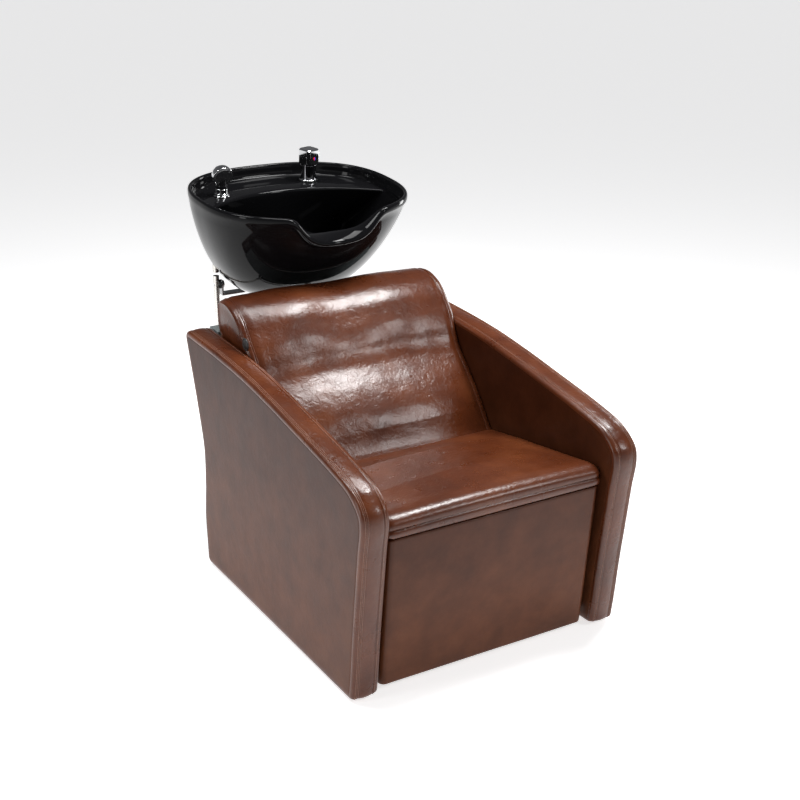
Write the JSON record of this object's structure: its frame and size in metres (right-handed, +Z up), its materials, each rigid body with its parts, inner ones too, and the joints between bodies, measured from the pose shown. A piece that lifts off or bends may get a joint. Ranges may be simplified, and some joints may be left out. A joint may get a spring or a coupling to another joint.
{
  "type": "shampoo backwash unit",
  "caption": "Upholstered salon chair with curved side arms joined to a tilting black wash bowl on a steel stand, with mixer and hand shower.",
  "frame": {"origin": "on the floor, under the centre of the unit's bounding box", "axes": "+Z up, +Y from the sitter's feet towards the bowl, -X at the sitter's right"},
  "size_m": [0.7, 1.1918, 0.9918],
  "materials": {
    "black_plastic": "satin",
    "chrome": "polished",
    "chromed_plastic": "polished",
    "cold_blue": "gloss",
    "foam_leather": "gloss",
    "glaze": "gloss",
    "gloss_black": "gloss",
    "hot_red": "gloss",
    "leather_board": "satin",
    "painted_steel": "satin",
    "rubber": "matte",
    "steel": "satin",
    "stone_laminate": "satin",
    "tag": "matte",
    "wood": "matte",
    "zinc": "satin"
  },
  "bodies": {
    "chair": {"arm_band_left": "foam_leather", "arm_band_right": "foam_leather", "arm_outer_cover_left": "foam_leather", "arm_outer_cover_right": "foam_leather", "arm_inner_pad_left": "foam_leather", "arm_inner_pad_right": "foam_leather", "arm_core_left": "wood", "arm_core_right": "wood", "arm_bolts": "steel", "glides": "black_plastic", "seat_side_boards": "wood", "seat_deck": "wood", "seat_front_board": "wood", "seat_front_panel": "foam_leather", "seat_cushion": "foam_leather", "back_cushion": "foam_leather", "back_board": "wood", "back_gussets": "painted_steel", "side_tag": "tag", "rear_cross_rails": "wood", "rear_access_panel": "leather_board", "rear_panel_screws": "steel", "rear_upper_panel": "leather_board", "rear_top_cover": "stone_laminate", "stand_base_plate": "painted_steel", "stand_posts": "chrome", "stand_cross_tie": "chrome", "chair_links": "painted_steel", "link_bolts": "steel", "pivot_pin_left": "chrome", "pivot_pin_right": "chrome", "friction_washers": "black_plastic"},
    "bowl": {"bowl": "glaze", "bowl_pad": "rubber", "tilt_yoke": "painted_steel", "yoke_screws": "steel", "drain_gasket": "rubber", "drain_flange": "chrome", "drain_nut": "black_plastic", "tailpiece_nut": "chrome", "tailpiece": "chrome", "mixer_gasket": "rubber", "mixer_base_ring": "chrome", "mixer_body": "zinc", "mixer_back_nut": "black_plastic", "inlet_tails": "chrome", "shower_sleeve": "chrome", "sleeve_nut": "black_plastic"},
    "strainer": {"hair_strainer": "chrome"},
    "mixer_swivel": {"mixer_swivel": "zinc"},
    "mixer_lever": {"mixer_lever": "zinc", "lever_pin": "chrome", "hot_mark": "hot_red", "cold_mark": "cold_blue"},
    "hand_shower": {"shower_handle": "gloss_black", "shower_head_shell": "chromed_plastic", "spray_plate": "black_plastic", "hose_nut": "chrome"},
    "tilt_knob": {"tilt_knob": "black_plastic"}
  },
  "joints": [
    {"name": "bowl_tilt", "type": "hinge", "parent": "chair", "child": "bowl", "pos_m": [0, 0.46412, 0.67], "axis": [1, 0, 0], "range_deg": [-12, 6]},
    {"name": "tilt_clamp", "type": "hinge", "parent": "chair", "child": "tilt_knob", "pos_m": [0.21, 0.46412, 0.67], "axis": [1, 0, 0], "range_deg": [-180, 0]},
    {"name": "mixer_turn", "type": "hinge", "parent": "bowl", "child": "mixer_swivel", "pos_m": [0.112, 0.51458, 0.94736], "axis": [0, -0.1011, 0.9949], "range_deg": [-61, 29]},
    {"name": "lever_lift", "type": "hinge", "parent": "mixer_swivel", "child": "mixer_lever", "pos_m": [0.10759, 0.52897, 0.95787], "axis": [-0.9613, -0.2742, -0.0279], "range_deg": [0, 20]},
    {"name": "shower_lift", "type": "slide", "parent": "bowl", "child": "hand_shower", "axis": [0, -0.1011, 0.9949], "range_m": [0, 0.3]},
    {"name": "strainer_lift", "type": "slide", "parent": "bowl", "child": "strainer", "axis": [0, -0.1011, 0.9949], "range_m": [0, 0.12]}
  ]
}
